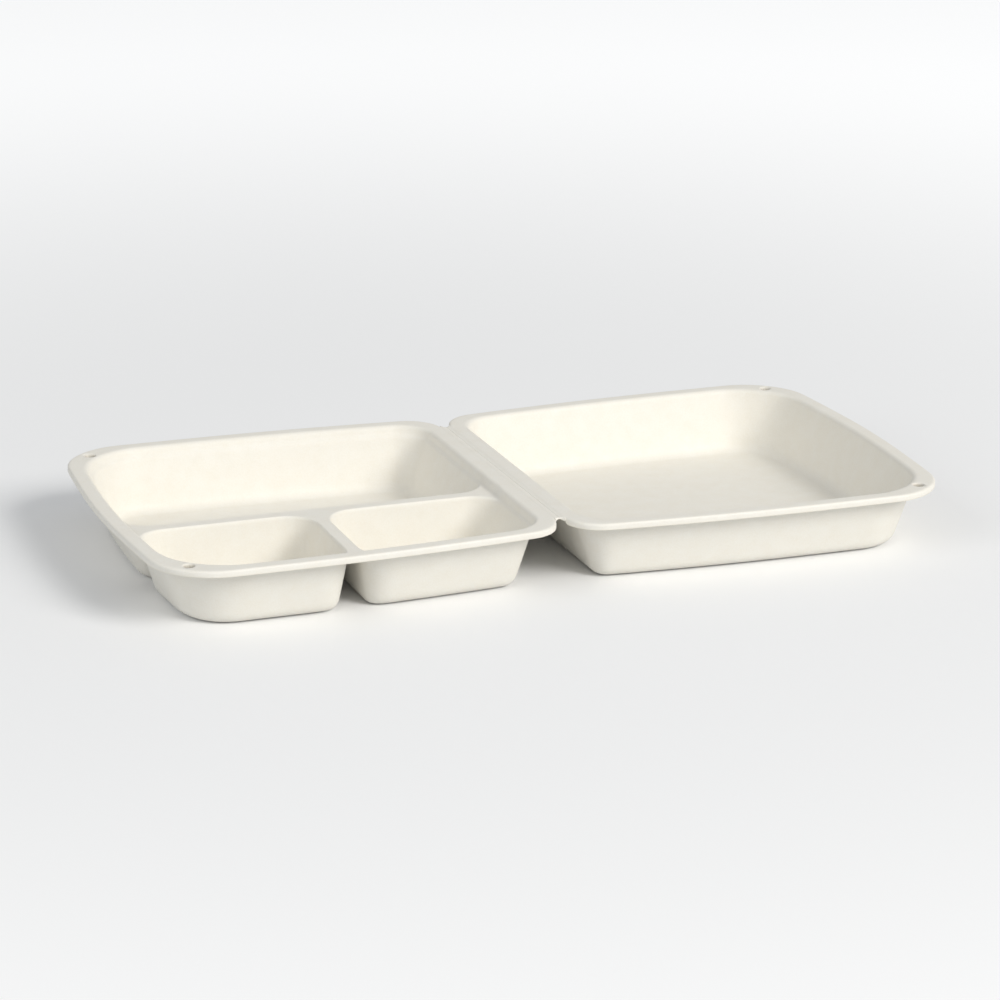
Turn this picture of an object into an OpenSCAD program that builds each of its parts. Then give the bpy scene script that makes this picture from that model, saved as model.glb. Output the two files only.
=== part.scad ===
// Hinged takeaway container of thin foamed plastic, lying open on a table.
// A base with three compartments and a plain lid are moulded as one sheet and meet at a fold.
// X runs across the fold from the base to the lid, Y runs along the fold to the back, Z is up.
// The origin is on the table, under the middle of the open container.

/* [Overall size] */
// Width of each half, from the fold to the middle of its free edge
half_w = 235; // [190:1:280]
// Length of each half along the fold, at its widest
half_d = 235; // [190:1:280]
// Height of each half, from the table to the top of the rim
depth = 38; // [26:1:60]

/* [Sheet] */
// Thickness of the drafted walls
wall_t = 1.4; // [0.8:0.1:2.2]
// Thickness of the floors
floor_t = 1.8; // [1:0.1:3]
// Thickness of the flat rim
rim_t = 2.2; // [1.2:0.1:3]

/* [Rim] */
// Width of the flat rim, from its outer edge to the top of the wall
rim_w = 9; // [7:0.5:14]
// How far the free side bulges at its middle, and how far the front and back sides curve in at the fold
bow = 9; // [0:0.5:13]
// Radius of the rim's corners at the free edge
rim_corner_r = 32; // [20:1:36]
// Radius of the rim's corners beside the fold
fold_corner_r = 18; // [8:1:24]
// Height of the turned-down lip at the rim's edge
lip_h = 3.8; // [3:0.1:6]
// Thickness of the turned-down lip
lip_t = 1.6; // [1:0.1:2.2]

/* [Compartments] */
// Draft of the outer walls, in degrees from upright
draft = 18; // [8:1:24]
// Draft of the walls beside the dividers, in degrees from upright
divider_draft = 9; // [6:1:24]
// Distance from the front edge to the middle of the long divider
cross_divider = 96; // [84:1:120]
// Distance from the fold to the middle of the short divider
short_divider = 119; // [100:1:136]
// Width of a divider's crest
crest_w = 8; // [6:0.5:12]
// How far a divider's crest lies below the rim
crest_drop = 5; // [3:0.5:8]
// Width of the shoulder that runs round the base at the height of the crests
shoulder = 0.8; // [0.6:0.1:1.5]
// Corner radius of the compartments under the rim, outside the dividers
pan_corner_r = 36; // [26:1:40]
// Corner radius of the compartments beside the dividers
divider_corner_r = 19; // [16:1:26]
// Radius between the walls and the floors
floor_r = 7; // [3:0.5:9]
// Smallest corner radius that a compartment keeps at its floor
least_corner_r = 1.5; // [1:0.5:3]

/* [Corner dimples] */
// Radius of each round dimple in the rim's free corners, at its mouth
dimple_r = 3.4; // [2:0.1:3.8]
// Depth of each dimple
dimple_h = 3; // [1:0.5:4]
// Distance of each dimple from both sides of its corner
dimple_inset = 15; // [14:0.5:17]

/* [Fold] */
// Width of the thin web between the two rims
web_w = 6; // [4:0.5:10]
// Thickness that is left at the crease
crease_t = 0.8; // [0.4:0.1:1.2]
// Space between the two halves at the crease
crease_gap = 0.3; // [0.2:0.05:0.6]

/* [Hidden] */

foam = [0.97, 0.95, 0.90];

// How far an outer wall leans in for each millimetre of height
lean = tan(draft);
// The same for a wall beside a divider, as a share of the outer walls' lean
share = tan(divider_draft) / lean;
// Wall thickness measured level
wall_level_t = wall_t / cos(draft);

// The straight plan of one half, before its free sides are bowed: x is measured from the fold
plan_x0 = web_w / 2;
plan_x1 = half_w - bow;
plan_y = half_d / 2 - bow;

// Inner edge of the rim in the straight plan
pan_x0 = plan_x0 + rim_w;
pan_x1 = plan_x1 - rim_w;
pan_y = plan_y - rim_w;

// Middle of the long divider, and half of the gap between two compartments at the rim's height
cross_y = cross_divider - half_d / 2;
half_gap = crest_w / 2 - crest_drop * lean * share;
crest_z = depth - crest_drop;

// The web ends where the rim's corners begin
web_l = 2 * (plan_y - fold_corner_r);

// The bow grows from nothing at the dividers to its full size at the outer walls
bow_from_x = 0.60;
bow_over_x = 0.25;
bow_from_y = 0.36;
bow_over_y = 0.40;
// Share of the way from the fold at which the front and back sides have become straight
straight_from = 0.7;

// Steps along a corner, along a side and round a floor edge
corner_n = 8;
side_n = 6;
floor_n = 4;
// How far a cut runs past the face that it opens
past = 1;
// How far a compartment's body and hollow reach into the upper part of the base
reach = 0.5;

// A smooth step from 0 to 1
function ramp(t) = let (c = max(0, min(1, t))) c * c * (3 - 2 * c);

// Moves a point of the straight plan outwards: the free side bulges, the front and back sides curve in at
// the fold, and the dividers stay straight
function bowed(p) =
    let (
        s = (p.x - plan_x0) / (plan_x1 - plan_x0),
        t = p.y / plan_y,
        out_x = bow * ramp((s - bow_from_x) / bow_over_x) * (1 - t * t),
        curve = 1 - pow(1 - min(s / straight_from, 1), 2),
        out_y = bow * ramp((abs(t) - bow_from_y) / bow_over_y) * curve
    )
    [p.x + out_x, p.y + sign(t) * out_y];

// Points along a quarter circle from angle a
function quarter(centre, r, a) =
    [for (i = [0:corner_n]) centre + r * [cos(a + 90 * i / corner_n), sin(a + 90 * i / corner_n)]];

// Points between two corners, without the ends
function between(a, b) = [for (i = [1:side_n - 1]) a + (b - a) * i / side_n];

// A bowed rectangle, counter-clockwise from the middle of its corner at x0, y0. It is given by its sides
// x0, x1, y0, y1, its four corner radii and the share of the inset that draws in each side; every side is
// then moved out again by grow
function outline(b, inset, grow) =
    let (
        x0 = b[0] + inset * b[8] - grow,
        x1 = b[1] - inset * b[9] + grow,
        y0 = b[2] + inset * b[10] - grow,
        y1 = b[3] - inset * b[11] + grow,
        near = [[b[8], b[10]], [b[9], b[10]], [b[9], b[11]], [b[8], b[11]]],
        r = [for (i = [0:3])
            max(least_corner_r, b[4 + i] - inset * (near[i].x + near[i].y) / 2 + grow)],
        c0 = quarter([x0 + r[0], y0 + r[0]], r[0], 180),
        c1 = quarter([x1 - r[1], y0 + r[1]], r[1], 270),
        c2 = quarter([x1 - r[2], y1 - r[2]], r[2], 0),
        c3 = quarter([x0 + r[3], y1 - r[3]], r[3], 90),
        ring = concat(
            c0, between(c0[corner_n], c1[0]),
            c1, between(c1[corner_n], c2[0]),
            c2, between(c2[corner_n], c3[0]),
            c3, between(c3[corner_n], c0[0])
        ),
        n = len(ring)
    )
    [for (i = [0:n - 1]) bowed(ring[(i + corner_n / 2) % n])];

// Outer edge of the rim
rim_box = [
    plan_x0, plan_x1, -plan_y, plan_y,
    fold_corner_r, rim_corner_r, rim_corner_r, fold_corner_r,
    1, 1, 1, 1
];
// The hollow of a whole half at the rim's height
full_pan = [
    pan_x0, pan_x1, -pan_y, pan_y,
    divider_corner_r, pan_corner_r, pan_corner_r, divider_corner_r,
    1, 1, 1, 1
];
// The three compartments of the base, inside its shoulder, as their walls would reach the rim's height
base_x0 = pan_x0 + shoulder;
base_x1 = pan_x1 - shoulder;
base_y = pan_y - shoulder;
fold_pan = [
    base_x0, short_divider - half_gap, -base_y, cross_y - half_gap,
    divider_corner_r, divider_corner_r, divider_corner_r, divider_corner_r,
    1, share, 1, share
];
free_pan = [
    short_divider + half_gap, base_x1, -base_y, cross_y - half_gap,
    divider_corner_r, pan_corner_r, divider_corner_r, divider_corner_r,
    share, 1, 1, share
];
large_pan = [
    base_x0, base_x1, cross_y + half_gap, base_y,
    divider_corner_r, divider_corner_r, pan_corner_r, divider_corner_r,
    1, 1, share, 1
];
base_pans = [fold_pan, free_pan, large_pan];

// Levels [height, inset, grow] of a hollow from its floor up, with a round floor edge of radius r
function pan_levels(floor_z, top_z, r, grow) =
    let (
        touch_z = floor_z + r - r * sin(draft),
        middle = (depth - touch_z) * lean + r * cos(draft)
    )
    concat(
        [for (i = [0:floor_n]) let (a = -90 + (90 - draft) * i / floor_n)
            [floor_z + r + r * sin(a), middle - r * cos(a), grow]],
        [[top_z, (depth - top_z) * lean, grow]]
    );

// A closed body through the outlines of a pan at each level
module wrapped(pan, levels) {
    n = 4 * (corner_n + side_n);
    last = len(levels) - 1;
    polyhedron(
        points = [for (l = levels) for (p = outline(pan, l[1], l[2])) [p.x, p.y, l[0]]],
        faces = concat(
            [[for (i = [0:n - 1]) i]],
            [for (k = [0:last - 1]) for (i = [0:n - 1])
                [k * n + i, (k + 1) * n + i, (k + 1) * n + (i + 1) % n, k * n + (i + 1) % n]],
            [[for (i = [n - 1:-1:0]) last * n + i]]
        )
    );
}

// Space inside a pan, from its floor up
module pan_inside(pan, top_z) {
    wrapped(pan, pan_levels(floor_t, top_z, floor_r, 0));
}

// A pan with its walls and floor, still solid
module pan_outside(pan, top_z) {
    wrapped(pan, pan_levels(0, top_z, floor_r + wall_t, wall_level_t));
}

// The upper part of the base, which is open above the dividers' crests
module collar(from_z, to_z, grow) {
    wrapped(full_pan, [for (z = [from_z, to_z]) [z, (depth - z) * lean, grow]]);
}

// Places a shape at the rim's two free corners
module at_free_corners() {
    for (side = [-1, 1])
        translate(bowed([plan_x1 - dimple_inset, side * (plan_y - dimple_inset)]))
            children();
}

// A dimple's body or its hollow: it narrows downwards so that halves nest
module dimple(grow, top_z) {
    bottom = depth - dimple_h - (grow > 0 ? rim_t / 2 : 0);
    narrow = (top_z - bottom) * lean;
    at_free_corners()
        translate([0, 0, bottom])
            cylinder(r1 = dimple_r + grow - narrow, r2 = dimple_r + grow, h = top_z - bottom, $fn = 32);
}

// The flat rim with its lip, and the half web that runs to the crease; still solid inside
module rim() {
    web_x1 = plan_x0 + lip_t + past;
    difference() {
        translate([0, 0, depth - lip_h])
            linear_extrude(lip_h)
                polygon(outline(rim_box, 0, 0));
        translate([0, 0, depth - lip_h - past])
            linear_extrude(lip_h + past - rim_t)
                polygon(outline(rim_box, lip_t, 0));
        // the lip stops beside the web
        translate([plan_x0 - past, -web_l / 2, depth - lip_h - past])
            cube([web_x1 - plan_x0 + past, web_l, lip_h + past - rim_t]);
    }
    translate([0, web_l / 2, 0])
        rotate([90, 0, 0])
            linear_extrude(web_l)
                polygon([
                    [crease_gap / 2, depth],
                    [crease_gap / 2, depth - crease_t],
                    [plan_x0, depth - rim_t],
                    [web_x1, depth - rim_t],
                    [web_x1, depth]
                ]);
}

// The base, with x measured from the fold
module base_half() {
    difference() {
        union() {
            rim();
            collar(crest_z - wall_t, depth - rim_t / 2, wall_level_t);
            for (pan = base_pans)
                pan_outside(pan, crest_z - wall_t + reach);
            dimple(wall_t, depth - rim_t / 2);
        }
        collar(crest_z, depth + past, 0);
        for (pan = base_pans)
            pan_inside(pan, crest_z + reach);
        dimple(0, depth + past / 4);
    }
}

// The lid, with x measured from the fold
module lid_half() {
    difference() {
        union() {
            rim();
            pan_outside(full_pan, depth - rim_t / 2);
            dimple(wall_t, depth - rim_t / 2);
        }
        pan_inside(full_pan, depth + past);
        dimple(0, depth + past / 4);
    }
}

module base_tray() {
    color(foam)
        mirror([1, 0, 0])
            base_half();
}

module lid() {
    color(foam)
        lid_half();
}

base_tray();
lid();
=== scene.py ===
import bmesh
import bpy
import math
import numpy as np
from mathutils import Matrix, Vector


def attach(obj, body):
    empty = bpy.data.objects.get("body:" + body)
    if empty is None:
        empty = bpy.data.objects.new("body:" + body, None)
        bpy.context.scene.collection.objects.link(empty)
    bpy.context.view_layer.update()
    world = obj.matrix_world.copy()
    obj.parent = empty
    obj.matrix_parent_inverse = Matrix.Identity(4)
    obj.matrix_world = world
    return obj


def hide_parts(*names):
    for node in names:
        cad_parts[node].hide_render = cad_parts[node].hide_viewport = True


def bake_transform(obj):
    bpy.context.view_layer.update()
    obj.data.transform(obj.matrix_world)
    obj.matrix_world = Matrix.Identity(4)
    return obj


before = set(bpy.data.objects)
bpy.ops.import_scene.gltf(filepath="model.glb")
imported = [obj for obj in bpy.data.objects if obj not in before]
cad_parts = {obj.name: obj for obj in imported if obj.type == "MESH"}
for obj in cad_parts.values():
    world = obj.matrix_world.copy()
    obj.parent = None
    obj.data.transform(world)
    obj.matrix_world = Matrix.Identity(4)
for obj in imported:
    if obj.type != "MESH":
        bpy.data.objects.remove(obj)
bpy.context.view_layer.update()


# ---- Base tray ------------------------------------------------------------------------------
# The lower half of the container: three compartments pressed into one thin sheet of foamed
# plastic with warm ivory skin. Its rim is flat, its trimmed edge is turned down to a lip, and
# the sheet runs on into the fold. All lengths in the shape functions are millimetres.

MM = 0.001
HALF_W = 235.0
HALF_D = 235.0
DEPTH = 38.0
BOW = 9.0
FOLD_X = 3.0
RIM_X = HALF_W - BOW
RIM_Y = HALF_D / 2 - BOW
RIM_W = 9.0
RIM_T = 2.2
WALL_T = 1.4
FLOOR_T = 1.8
SHOULDER = 0.8
CREST_W = 8.0
CREST_DROP = 5.0
CROSS_DIVIDER = 96.0
SHORT_X = 119.0

DRAFT = math.radians(18)
DIVIDER_DRAFT = math.radians(9)
LEAN = math.tan(DRAFT)
SHARE = math.tan(DIVIDER_DRAFT) / LEAN
WALL_LEVEL_T = WALL_T / math.cos(DRAFT)
CROSS_Y = CROSS_DIVIDER - HALF_D / 2
HALF_GAP = CREST_W / 2 - CREST_DROP * LEAN * SHARE

RIM_CORNER_R = 32.0
FOLD_CORNER_R = 18.0
PAN_CORNER_R = 36.0
DIVIDER_CORNER_R = 19.0
RIM_EDGE_R = 3.0
CREST_EDGE_R = 2.6
FLOOR_R = 7.0
UNDER_RIM_R = 1.3
UNDER_CREST_R = 1.2
COLLAR_FOOT_R = 2.0
DIMPLE_R = 3.4
DIMPLE_DEPTH = 3.0
DIMPLE_INSET = 15.0

PAN_X0 = FOLD_X + RIM_W
PAN_X1 = RIM_X - RIM_W
PAN_Y = RIM_Y - RIM_W
BASE_X0 = PAN_X0 + SHOULDER
BASE_X1 = PAN_X1 - SHOULDER
BASE_Y = PAN_Y - SHOULDER
# Each outline is x0, x1, y0, y1 and the share of the outer walls' lean that its four walls have
RIM_OUTLINE = (FOLD_X, RIM_X, -RIM_Y, RIM_Y, 1, 1, 1, 1)
FULL_PAN = (PAN_X0, PAN_X1, -PAN_Y, PAN_Y, 1, 1, 1, 1)
FOLD_PAN = (BASE_X0, SHORT_X - HALF_GAP, -BASE_Y, CROSS_Y - HALF_GAP, 1, SHARE, 1, SHARE)
FREE_PAN = (SHORT_X + HALF_GAP, BASE_X1, -BASE_Y, CROSS_Y - HALF_GAP, SHARE, 1, 1, SHARE)
LARGE_PAN = (BASE_X0, BASE_X1, CROSS_Y + HALF_GAP, BASE_Y, 1, 1, SHARE, 1)
COMPARTMENTS = (FOLD_PAN, FREE_PAN, LARGE_PAN)

# Where the bow starts and over what share of the length it grows, across and along the fold
BOW_X = (0.60, 0.25)
BOW_Y = (0.36, 0.40)
STRAIGHT_FROM = 0.7
# A compartment's corner fans out from square to round over the first two levels, keeps round down to
# the floor's level and is square again at the last
FAN = (-3.0, -0.3, 18.5, 30.0)


def ramp(t):
    """A smooth step: 3t^2 - 2t^3 between 0 and 1."""
    t = np.clip(t, 0, 1)
    return t * t * (3 - 2 * t)


def bowed(x, y):
    """Moves the straight plan outwards: the free side bulges by 1 - t^2 along its length t, and the
    front and back sides curve in at the fold by a parabola that ends at 0.7 of their length."""
    s = (x - FOLD_X) / (RIM_X - FOLD_X)
    t = y / RIM_Y
    out_x = BOW * ramp((s - BOW_X[0]) / BOW_X[1]) * (1 - t * t)
    curve = 1 - (1 - np.minimum(s / STRAIGHT_FROM, 1)) ** 2
    out_y = BOW * ramp((np.abs(t) - BOW_Y[0]) / BOW_Y[1]) * curve
    return x + out_x, y + np.sign(t) * out_y


def level(x, y, pan, grow):
    """How far a grid point lies inside a pan: the least of its distances a, b from the sides, each
    divided by that wall's share, so that walls of every slope have their foot at one level. Growing
    the pan adds grow / share, which turns from one wall's to the other's with the corner's angle."""
    x0, x1, y0, y1, *share = pan
    right, back = (x1 - x) / share[1] < (x - x0) / share[0], (y1 - y) / share[3] < (y - y0) / share[2]
    a, ka = np.where(right, x1 - x, x - x0), np.where(right, share[1], share[0])
    b, kb = np.where(back, y1 - y, y - y0), np.where(back, share[3], share[2])
    c = np.minimum(a / ka, b / kb)
    radius = np.interp(c, FAN[:2], [1e-6, DIVIDER_CORNER_R]) - (ka + kb) / 2 * np.clip(c, 0, FAN[2])
    p, q = np.maximum(ka * c + radius - a, 0), np.maximum(kb * c + radius - b, 0)
    turned = q ** 2 / np.maximum(p ** 2 + q ** 2, 1e-12)
    turned = np.where((p > 0) | (q > 0), turned, a / ka > b / kb)
    return c + grow * ((1 - turned) / ka + turned / kb)


def round_level(x, y, pan, grow):
    """The same for an outline with round corners and equal walls: r - |p| in a corner, where p
    runs from the corner's centre."""
    x0, x1, y0, y1 = pan[:4]
    radius = np.where(x > (x0 + x1) / 2, PAN_CORNER_R, DIVIDER_CORNER_R)
    a, b = np.minimum(x - x0, x1 - x), np.minimum(y - y0, y1 - y)
    p, q = radius - a, radius - b
    return grow + np.where((p > 0) & (q > 0), radius - np.hypot(p, q), np.minimum(a, b))


def drafted(d, top, bottom, top_r, bottom_r):
    """Depth at distance d inside an outline: level top, an arc, the wall d / lean, an arc, level
    bottom. Each arc is tangent to its level and to the wall."""
    turn = math.tan((math.pi / 2 - DRAFT) / 2)
    steep = math.sin(DRAFT)
    top_d, bottom_d = top * LEAN, bottom * LEAN
    top_l, bottom_l = top_r * turn, bottom_r * turn
    from_top = d - (top_d - top_l)
    from_bottom = bottom_d + bottom_l - d
    top_arc = top + top_r - np.sqrt(np.clip(top_r ** 2 - from_top ** 2, 0, None))
    bottom_arc = bottom - bottom_r + np.sqrt(np.clip(bottom_r ** 2 - from_bottom ** 2, 0, None))
    ends = (top_d - top_l, top_d + top_l * steep, bottom_d - bottom_l * steep, bottom_d + bottom_l)
    return np.select([d < end for end in ends], [top, top_arc, d / LEAN, bottom_arc], bottom)


def dimple_depth(x, y, radius, depth, under):
    """Depth of the two round dimples in the free corners: a drafted well around each centre."""
    total = 0
    for side in (-1, 1):
        cx, cy = bowed(RIM_X - DIMPLE_INSET, side * (RIM_Y - DIMPLE_INSET))
        total = total + drafted(radius - np.hypot(x - cx, y - cy), 0, depth, 0.5, 0.6 + under)
    return total


def base_depth(x, y, drawn_x, drawn_y, under):
    """Depth of the tray's upper or under face below the rim: the drafted collar down to the
    dividers' crests, plus each compartment's drop below them."""
    if under:
        grow, top, crest, floor = WALL_LEVEL_T, RIM_T, CREST_DROP + WALL_T, DEPTH
        edge_r, crest_r, floor_r = UNDER_RIM_R, UNDER_CREST_R, FLOOR_R + WALL_T
    else:
        grow, top, crest, floor = 0, 0, CREST_DROP, DEPTH - FLOOR_T
        edge_r, crest_r, floor_r = RIM_EDGE_R, CREST_EDGE_R, FLOOR_R
    depth = drafted(round_level(drawn_x, drawn_y, FULL_PAN, grow), top, crest, edge_r, COLLAR_FOOT_R)
    for pan in COMPARTMENTS:
        depth = depth + drafted(level(x, y, pan, grow), crest, floor, crest_r, floor_r) - crest
    return depth


def corner_drawn(x, y, pan, corner, levels, radii):
    """Draws the grid's square corner round: the square at level c goes to the arc of radius R(c)
    by radial projection, so that the grid's lines follow the walls round the corner."""
    x0, x1, y0, y1, *share = pan
    at_x1, at_y1 = corner
    ka, kb = share[at_x1], share[2 + at_y1]
    a = x1 - x if at_x1 else x - x0
    b = y1 - y if at_y1 else y - y0
    c = np.minimum(a / ka, b / kb)
    radius = np.interp(c, levels, radii)
    centre_a, centre_b = ka * c + radius, kb * c + radius
    p, q = centre_a - a, centre_b - b
    here = (radius > 1e-6) & (p > 0) & (q > 0)
    scale = np.where(here, radius / np.maximum(np.hypot(p, q), 1e-9), 1)
    a, b = np.where(here, centre_a - p * scale, a), np.where(here, centre_b - q * scale, b)
    return (x1 - a if at_x1 else a + x0), (y1 - b if at_y1 else b + y0)


def outer_corners(x, y, pan_edge):
    """Rounds the half's four corners, from the rim's radius at its edge to the pan's radius."""
    for at_x1, rim_r, pan_r in ((0, FOLD_CORNER_R, DIVIDER_CORNER_R), (1, RIM_CORNER_R, PAN_CORNER_R)):
        levels, radii = [0, RIM_W, pan_edge, pan_edge + pan_r], [rim_r, pan_r, pan_r, 0]
        for at_y1 in (0, 1):
            x, y = corner_drawn(x, y, RIM_OUTLINE, (at_x1, at_y1), levels, radii)
    return x, y


def base_corners(x, y):
    """Rounds the outer corners and the compartments' corners beside the dividers."""
    x, y = outer_corners(x, y, RIM_W + SHOULDER)
    for pan, corners in ((FOLD_PAN, ((1, 0), (1, 1), (0, 1))), (FREE_PAN, ((0, 0), (1, 1), (0, 1))),
                         (LARGE_PAN, ((0, 0), (1, 0)))):
        for corner in corners:
            mean = (pan[4 + corner[0]] + pan[6 + corner[1]]) / 2
            radii = [0, DIVIDER_CORNER_R, DIVIDER_CORNER_R - FAN[2] * mean, 0]
            x, y = corner_drawn(x, y, pan, corner, FAN, radii)
    return x, y


def wall_lines(edge, into, from_d, dense_lines_or_dimple_shade, share=1):
    """Grid lines across one wall whose rim-level edge is at edge: close together on the two bends."""
    d = np.concatenate([
        np.arange(from_d, -3.01, 0.4 if share == 1 else 1.1), np.arange(-3.0, 3.8, 0.4),
        np.arange(4.2, 9.6, 0.7 if dense_lines_or_dimple_shade else 1.35), np.arange(9.8, 18.6, 0.85)])
    return edge + into * d * share


def spread(lines, low, high, gap):
    """Sorts the lines, ends them at low and high and fills every space wider than gap evenly."""
    lines = lines[(lines > low + 0.2) & (lines < high - 0.2)]
    lines = np.unique(np.round(np.concatenate([[low, high], lines]), 4))
    lines = lines[np.concatenate([[True], np.diff(lines) > 0.12])]
    filled = [np.linspace(a, b, math.ceil((b - a) / gap) + 1)[:-1] for a, b in zip(lines[:-1], lines[1:])]
    return np.concatenate(filled + [[lines[-1]]])


# The sheet's edge from the rim's upper face round the lip to its under face, as inset and depth,
# and the same points where the sheet runs on into the fold
LIP_START = 2.6
TURN = np.radians(np.linspace(0, 90, 7))
LIP_EDGE = np.array(
    [(1.3 - 1.3 * s, 1.3 - 1.3 * c) for s, c in zip(np.sin(TURN), np.cos(TURN))]
    + [(0.0, 2.4), (0.03, 3.3), (0.12, 3.65), (0.35, 3.8), (0.8, 3.8), (1.3, 3.8), (1.52, 3.66), (1.6, 3.35)]
    + [(1.6, 2.9), (1.68, 2.55), (1.9, 2.3), (2.25, RIM_T)])
WEB_EDGE = np.array(
    [(1.3 - 1.3 * k / 6, 0.0) for k in range(7)]
    + [(0.0, 0.5), (0.0, 1.1), (0.0, 1.7)]
    + [(inset, RIM_T) for inset in (0.0, 0.3, 0.6, 0.9, 1.2, 1.5, 1.8, 2.0, 2.3)])
TRIMMED = np.array([0] * 8 + [0.5] + [1] * 5 + [0.5] + [0] * 4, float)
WEB_HALF_L = RIM_Y - FOLD_CORNER_R


def shell(name, x_lines, y_lines, corners, depth, side):
    """One half of the container as a closed mesh: a grid for the upper face, the same grid for the
    under face, and rings between them that follow the lip. side is -1 for the base, 1 for the lid."""
    x, y = np.meshgrid(x_lines, y_lines, indexing="ij")
    nx, ny = x.shape
    cx, cy = corners(x, y)
    bx, by = bowed(cx, cy)
    dimples = [dimple_depth(bx, by, DIMPLE_R, DIMPLE_DEPTH, 0),
               dimple_depth(bx, by, DIMPLE_R + WALL_T, DIMPLE_DEPTH - RIM_T / 2, 0.5)]
    faces_z = [DEPTH - depth(x, y, cx, cy, under) - dimples[under] for under in (0, 1)]
    grids = [np.stack([bx, by, z], -1).reshape(-1, 3) for z in faces_z]

    index = np.arange(nx * ny).reshape(nx, ny)
    loop = np.concatenate([index[:-1, 0], index[-1, :-1], index[:0:-1, -1], index[0, :0:-1]])
    lx, ly = x.reshape(-1)[loop], y.reshape(-1)[loop]
    mid_x, half_x, half_y = (FOLD_X + RIM_X) / 2, (RIM_X - FOLD_X) / 2, RIM_Y
    at_fold = (lx < FOLD_X + LIP_START + 0.01) * (1 - ramp((np.abs(ly) - WEB_HALF_L + 2.5) / 4.0))
    edge = LIP_EDGE[:, None] * (1 - at_fold)[None, :, None] + WEB_EDGE[:, None] * at_fold[None, :, None]
    inset = edge[..., 0]
    rx = mid_x + (lx - mid_x) * (half_x - inset) / (half_x - LIP_START)
    ry = ly * (half_y - inset) / (half_y - LIP_START)
    rx, ry = bowed(*outer_corners(rx, ry, RIM_W))
    rings = np.stack([rx, ry, DEPTH - edge[..., 1]], -1).reshape(-1, 3)
    points = np.concatenate([grids[0], rings, grids[1]])
    points[:, 0] *= side

    count, rows = len(loop), len(LIP_EDGE)
    cells = np.stack([index[:-1, :-1], index[1:, :-1], index[1:, 1:], index[:-1, 1:]], -1).reshape(-1, 4)
    ring = nx * ny + np.arange(rows * count).reshape(rows, count)
    under = nx * ny + rows * count
    loops = np.concatenate([loop[None], ring, (under + loop)[None]])
    after = np.roll(loops, -1, axis=1)
    bands = np.stack([loops[:-1], loops[1:], after[1:], after[:-1]], -1).reshape(-1, 4)
    quads = np.concatenate([cells, bands, under + cells[:, ::-1]])
    if side < 0:
        quads = quads[:, ::-1]

    mesh = bpy.data.meshes.new(name)
    mesh.vertices.add(len(points))
    mesh.vertices.foreach_set("co", (points * MM).reshape(-1))
    mesh.loops.add(quads.size)
    mesh.loops.foreach_set("vertex_index", quads.reshape(-1))
    mesh.polygons.add(len(quads))
    mesh.polygons.foreach_set("loop_start", np.arange(0, quads.size, 4))
    mesh.update(calc_edges=True)
    mesh.polygons.foreach_set("use_smooth", np.ones(len(quads), bool))
    trimmed = np.zeros(len(points), np.float32)
    trimmed[ring] = TRIMMED[:, None] * (1 - at_fold)
    mesh.attributes.new("trimmed", "FLOAT", "POINT").data.foreach_set("value", trimmed)
    # Painted shade for the corner dimples: their depth as a 0 to 1 mask, by which the foam is darkened and
    # made smoother
    painted_dimple_shade = np.zeros(len(points), np.float32)
    painted_dimple_shade[:nx * ny] = ramp(dimples[0].reshape(-1) / (0.7 * DIMPLE_DEPTH))
    mesh.attributes.new("painted_dimple_shade", "FLOAT", "POINT").data.foreach_set("value", painted_dimple_shade)
    piece = bpy.data.objects.new(name, mesh)
    bpy.context.scene.collection.objects.link(piece)
    return piece


class Grain:
    """An output of the foam's nodes. + - * / on values add Math nodes, and make() adds any other."""

    def __init__(self, tree, socket=None):
        self.tree, self.socket = tree, socket

    def make(self, kind, settings, sockets, out=0):
        node = self.tree.nodes.new(kind)
        for key, value in settings.items():
            setattr(node, key, value)
        for key, value in sockets.items():
            if isinstance(value, Grain):
                self.tree.links.new(value.socket, node.inputs[key])
            else:
                node.inputs[key].default_value = value
        return Grain(self.tree, node.outputs[out] if node.outputs else None)

    def math(self, operation, a, b=0.0):
        return self.make("ShaderNodeMath", {"operation": operation}, {0: a, 1: b})

    def __add__(self, other):
        return self.math("ADD", self, other)

    def __sub__(self, other):
        return self.math("SUBTRACT", self, other)

    def __mul__(self, other):
        return self.math("MULTIPLY", self, other)

    def __rsub__(self, other):
        return self.math("SUBTRACT", other, self)

    __radd__, __rmul__ = __add__, __mul__


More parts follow.
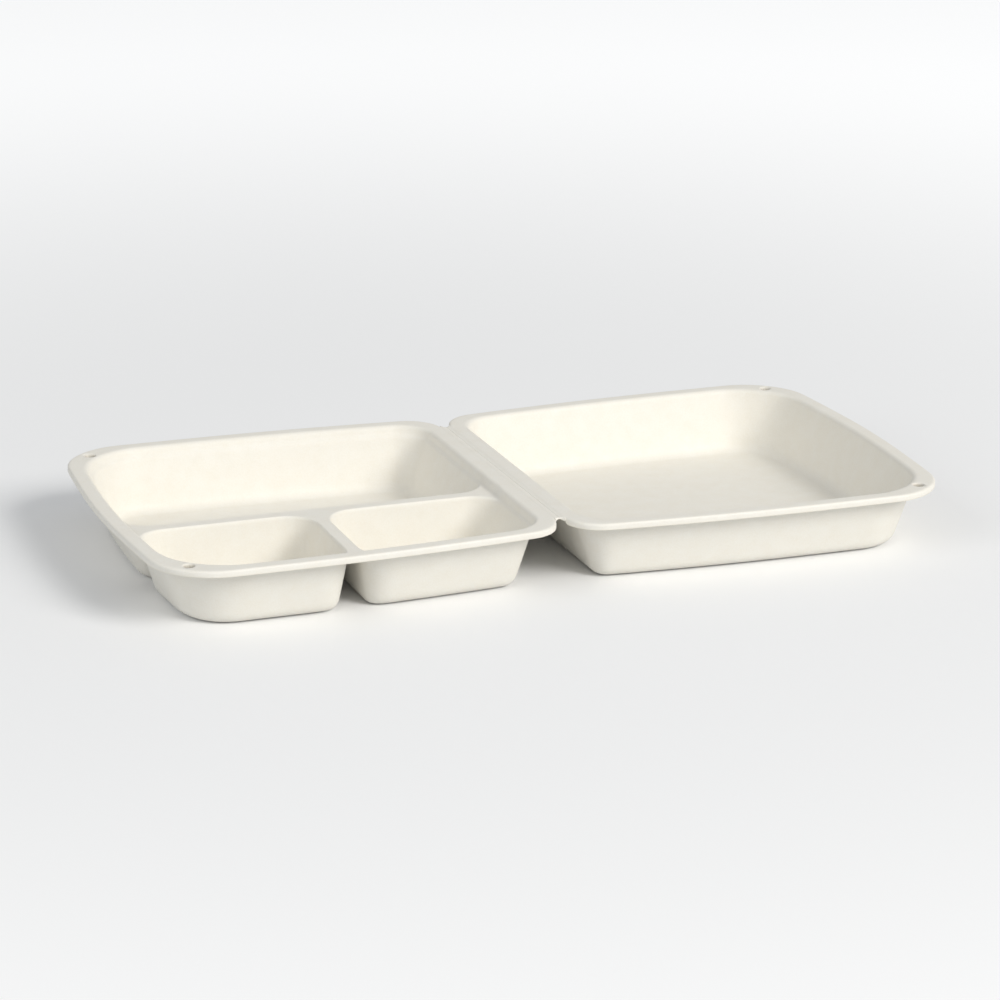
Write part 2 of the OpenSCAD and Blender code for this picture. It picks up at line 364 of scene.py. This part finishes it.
def foam(name):
    """Skin of foamed plastic: 0.9 mm cells under a soft skin, an uneven pull of a few millimetres,
    slow waves from forming, faint cloudiness, open rough cells where the edge was trimmed, and
    painted shade in the corner dimples: a dark colour mixed in by their depth, with a smoother skin there."""
    material = bpy.data.materials.new(name)
    material.use_nodes = True
    tree = material.node_tree
    tree.nodes.clear()
    start = Grain(tree)
    place = start.make("ShaderNodeTexCoord", {}, {}, "Object")
    place = start.make("ShaderNodeVectorMath", {"operation": "SCALE"}, {0: place, "Scale": 1000.0})
    trimmed = start.make("ShaderNodeAttribute", {"attribute_name": "trimmed"}, {}, "Fac")
    painted_dimple_shade = start.make("ShaderNodeAttribute", {"attribute_name": "painted_dimple_shade"}, {}, "Fac")

    def noise(size, detail, rough=0.5):
        return start.make("ShaderNodeTexNoise", {"noise_dimensions": "3D"},
                          {"Vector": place, "Scale": 1 / size, "Detail": detail, "Roughness": rough}, "Fac")

    def cells(size, smooth):
        return start.make("ShaderNodeTexVoronoi", {"feature": "SMOOTH_F1"},
                          {"Vector": place, "Scale": 1 / size, "Smoothness": smooth}, "Distance")

    fine, pull, waves, cloud = cells(0.9, 0.5), noise(3.2, 2.0), noise(22.0, 1.0), noise(9.0, 4.0, 0.6)
    open_cells = cells(0.45, 0.1)
    height = fine * -0.000018 + pull * 0.00004 + waves * 0.00028 + open_cells * trimmed * 0.00012
    bump = start.make("ShaderNodeBump", {}, {"Strength": 1.0, "Distance": 1.0, "Height": height})

    pale, warm = (0.89, 0.865, 0.795, 1), (0.86, 0.82, 0.73, 1)
    # The creamier colour is the trimmed edge; the dark brown after it is painted shade for the dimples'
    # insides
    cut, dense_lines_or_dimple_shade = (0.87, 0.82, 0.71, 1), (0.42, 0.38, 0.31, 1)
    tone = start.make("ShaderNodeMapRange", {}, {"Value": cloud * 0.75 + fine * 0.4, 1: 0.3, 2: 0.85})
    skin = start.make("ShaderNodeMix", {"data_type": "RGBA"}, {0: tone, 6: pale, 7: warm}, 2)
    colour = start.make("ShaderNodeMix", {"data_type": "RGBA"}, {0: trimmed * 0.8, 6: skin, 7: cut}, 2)
    # Mixes the painted shade into the dimples by their depth
    colour = start.make("ShaderNodeMix", {"data_type": "RGBA"}, {0: painted_dimple_shade * 0.9, 6: colour, 7: dense_lines_or_dimple_shade}, 2)
    surface = start.make("ShaderNodeBsdfPrincipled", {}, {
        "Base Color": colour, "Normal": bump,
        "Roughness": cloud * 0.14 + trimmed * 0.25 + painted_dimple_shade * -0.12 + 0.46,
        "Specular IOR Level": 0.4})
    start.make("ShaderNodeOutputMaterial", {}, {"Surface": surface})
    return material


FOAM = foam("ivory_foam")
# The grid's lines start close together this far outside a wall: beside the fold, and elsewhere, where
# they also cross the dimples and the crests. No space between lines is wider than the last value.
FROM_FOLD, FROM_EDGE, WIDEST = -3.0, -6.4, 4.0
base_x = np.concatenate([
    wall_lines(PAN_X0, 1, FROM_FOLD, False), wall_lines(PAN_X1, -1, FROM_EDGE, True),
    wall_lines(SHORT_X - HALF_GAP, -1, FROM_EDGE, False, SHARE),
    wall_lines(SHORT_X + HALF_GAP, 1, FROM_EDGE, False, SHARE)])
base_y = np.concatenate([
    wall_lines(-PAN_Y, 1, FROM_EDGE, True), wall_lines(PAN_Y, -1, FROM_EDGE, True),
    wall_lines(CROSS_Y - HALF_GAP, -1, FROM_EDGE, False, SHARE),
    wall_lines(CROSS_Y + HALF_GAP, 1, FROM_EDGE, False, SHARE)])
base = shell("base_tray_skin", spread(base_x, FOLD_X + LIP_START, RIM_X - LIP_START, WIDEST),
             spread(base_y, LIP_START - RIM_Y, RIM_Y - LIP_START, WIDEST), base_corners, base_depth, -1)
base.data.materials.append(FOAM)
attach(base, "base")
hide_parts("base_tray")


# ---- Lid ------------------------------------------------------------------------------------
# The upper half, pressed from the same sheet: a plain shallow dome with one drafted wall and the
# same rim, lip and corner dimples as the base, so that the two rims meet when it is folded over.

def lid_depth(x, y, drawn_x, drawn_y, under):
    """Depth of the dome's inner or outer face below the rim: one drafted wall down to its top."""
    if under:
        return drafted(level(x, y, FULL_PAN, WALL_LEVEL_T), RIM_T, DEPTH, UNDER_RIM_R, FLOOR_R + WALL_T)
    return drafted(level(x, y, FULL_PAN, 0), 0, DEPTH - FLOOR_T, RIM_EDGE_R, FLOOR_R)


def lid_corners(x, y):
    """Rounds the dome's corners."""
    return outer_corners(x, y, RIM_W)


lid_x = np.concatenate([wall_lines(PAN_X0, 1, FROM_FOLD, False), wall_lines(PAN_X1, -1, FROM_EDGE, True)])
lid_y = np.concatenate([wall_lines(-PAN_Y, 1, FROM_EDGE, True), wall_lines(PAN_Y, -1, FROM_EDGE, True)])
lid = shell("lid_skin", spread(lid_x, FOLD_X + LIP_START, RIM_X - LIP_START, WIDEST),
            spread(lid_y, LIP_START - RIM_Y, RIM_Y - LIP_START, WIDEST), lid_corners, lid_depth, 1)
lid.data.materials.append(FOAM)
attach(lid, "lid")
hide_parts("lid")


# ---- Fold -----------------------------------------------------------------------------------
# The narrow web between the two rims, squeezed thin in the mould so that it folds along one
# crease. It is the same sheet as both halves; here it is a fixed band between them that does not bend with
# them.

def fold_web(name):
    """A band across the fold carried along it: |x| and depth give the section, and its two ends
    are hollowed by 2.2 (x / 3)^2 so that they run into the rims' corners."""
    half = np.concatenate([[0.2, 0.4], np.arange(0.6, 3.01, 0.3)])
    across = np.concatenate([-half[::-1], [0], half])
    reach = np.abs(across) / FOLD_X
    upper = 0.28 * (1 - ramp((reach - 0.4) / 0.5)) + 0.3 * (1 - ramp(reach / 0.2))
    lower = 1.25 + (RIM_T - 1.25) * ramp(reach / 1.0)
    section_x = np.concatenate([across, across[::-1]])
    section_z = np.concatenate([upper, lower[::-1]])
    middle = np.concatenate([(upper + lower) / 2, ((upper + lower) / 2)[::-1]])
    along = np.concatenate([[-1.0, -1.0, -0.998], np.linspace(-0.99, 0.99, 61), [0.998, 1.0, 1.0]])
    closing = np.concatenate([[1.0, 0.4, 0.0], np.zeros(61), [0.0, 0.4, 1.0]])
    x = np.broadcast_to(section_x, (len(along), len(section_x)))
    y = along[:, None] * (WEB_HALF_L + 0.25 * closing[:, None] + 2.2 * (section_x / FOLD_X) ** 2)
    z = DEPTH - (section_z + (middle - section_z) * closing[:, None])
    points = np.stack([x, y, z], -1).reshape(-1, 3) * MM
    rows, count = x.shape
    index = np.arange(rows * count).reshape(rows, count)
    after = np.roll(index, -1, axis=1)
    quads = np.stack([index[:-1], after[:-1], after[1:], index[1:]], -1).reshape(-1, 4)
    mesh = bpy.data.meshes.new(name)
    mesh.from_pydata(points.tolist(), [], quads.tolist())
    shape = bmesh.new()
    shape.from_mesh(mesh)
    bmesh.ops.remove_doubles(shape, verts=shape.verts, dist=1e-6)
    bmesh.ops.recalc_face_normals(shape, faces=shape.faces)
    shape.to_mesh(mesh)
    shape.free()
    mesh.polygons.foreach_set("use_smooth", np.ones(len(mesh.polygons), bool))
    piece = bpy.data.objects.new(name, mesh)
    bpy.context.scene.collection.objects.link(piece)
    return piece


web = fold_web("fold_web")
web.data.materials.append(FOAM)
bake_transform(web)


# ---- Table, light and camera ----------------------------------------------------------------
# A plain pale table top that keeps the container's shadow, a broad soft lamp at the front right,
# a weaker one at the left, and the camera low at the front left with a long lens.

def table_top(size, colour, seen_colour):
    """A square sheet at the height of the container's floors. Only the camera sees it paler than the
    light that it throws back, and paler still away from the container."""
    mesh = bpy.data.meshes.new("table_top")
    corners = [(x * size / 2, y * size / 2, -0.0004) for x, y in ((-1, -1), (1, -1), (1, 1), (-1, 1))]
    mesh.from_pydata(corners, [], [(0, 1, 2, 3)])
    material = bpy.data.materials.new("pale_table")
    material.use_nodes = True
    surface = material.node_tree.nodes["Principled BSDF"]
    start = Grain(material.node_tree)
    seen = start.make("ShaderNodeLightPath", {}, {}, "Is Camera Ray")
    shade = start.make("ShaderNodeMix", {"data_type": "RGBA"}, {0: seen, 6: colour, 7: seen_colour}, 2)
    material.node_tree.links.new(shade.socket, surface.inputs["Base Color"])
    place = start.make("ShaderNodeTexCoord", {}, {}, "Object")
    away = start.make("ShaderNodeVectorMath", {"operation": "LENGTH"}, {0: place}, "Value")
    haze = seen * start.make("ShaderNodeMapRange", {"interpolation_type": "SMOOTHSTEP"},
                             {"Value": away, 1: 0.25, 2: 1.5, 3: 0.0, 4: 0.27})
    glow = start.make("ShaderNodeMix", {"data_type": "RGBA"}, {0: haze, 6: (0, 0, 0, 1), 7: (1, 1, 1, 1)}, 2)
    material.node_tree.links.new(glow.socket, surface.inputs["Emission Color"])
    surface.inputs["Emission Strength"].default_value = 1.0
    surface.inputs["Roughness"].default_value = 0.7
    surface.inputs["Specular IOR Level"].default_value = 0.2
    mesh.materials.append(material)
    top = bpy.data.objects.new("table_top", mesh)
    bpy.context.scene.collection.objects.link(top)
    return top


def softbox(name, place, aim, size, watts, colour):
    """A square area lamp at place that looks at aim."""
    lamp = bpy.data.lights.new(name, "AREA")
    lamp.shape = "SQUARE"
    lamp.size = size
    lamp.energy = watts
    lamp.color = colour
    holder = bpy.data.objects.new(name, lamp)
    holder.location = place
    holder.rotation_euler = (Vector(aim) - Vector(place)).to_track_quat("-Z", "Y").to_euler()
    bpy.context.scene.collection.objects.link(holder)
    return holder


table_top(30.0, (0.80, 0.81, 0.82, 1), (0.97, 0.97, 0.97, 1))
softbox("front_right_lamp", (3.0, -5.0, 3.8), (0, 0, 0.02), 2.8, 312.0, (1.0, 0.985, 0.96))
softbox("left_lamp", (-5.3, -1.7, 3.1), (0, 0, 0.02), 3.4, 70.0, (0.97, 0.985, 1.0))

world = bpy.data.worlds.new("pale_room")
bpy.context.scene.world = world
world.use_nodes = True
sky = world.node_tree.nodes["Background"]
sky.inputs["Color"].default_value = (0.93, 0.95, 0.97, 1)
sky.inputs["Strength"].default_value = 0.47

AZIMUTH = math.radians(-21.0)
ELEVATION = math.radians(18.0)
ROLL = math.radians(0.6)
DISTANCE = 2.03
camera = bpy.data.objects.new("camera", bpy.data.cameras.new("camera"))
bpy.context.scene.collection.objects.link(camera)
camera.data.sensor_width = 36.0
camera.data.lens = 128.0
camera.data.clip_end = 100.0
level_part = math.cos(ELEVATION)
back = Vector((math.sin(AZIMUTH) * level_part, -math.cos(AZIMUTH) * level_part, math.sin(ELEVATION)))
turned = back.to_track_quat("Z", "Y").to_matrix().to_4x4() @ Matrix.Rotation(ROLL, 4, "Z")
camera.matrix_world = Matrix.Translation(Vector((0.0, 0.0, 0.02)) + back * DISTANCE) @ turned
bpy.context.scene.camera = camera
bpy.context.scene.view_settings.view_transform = "Standard"
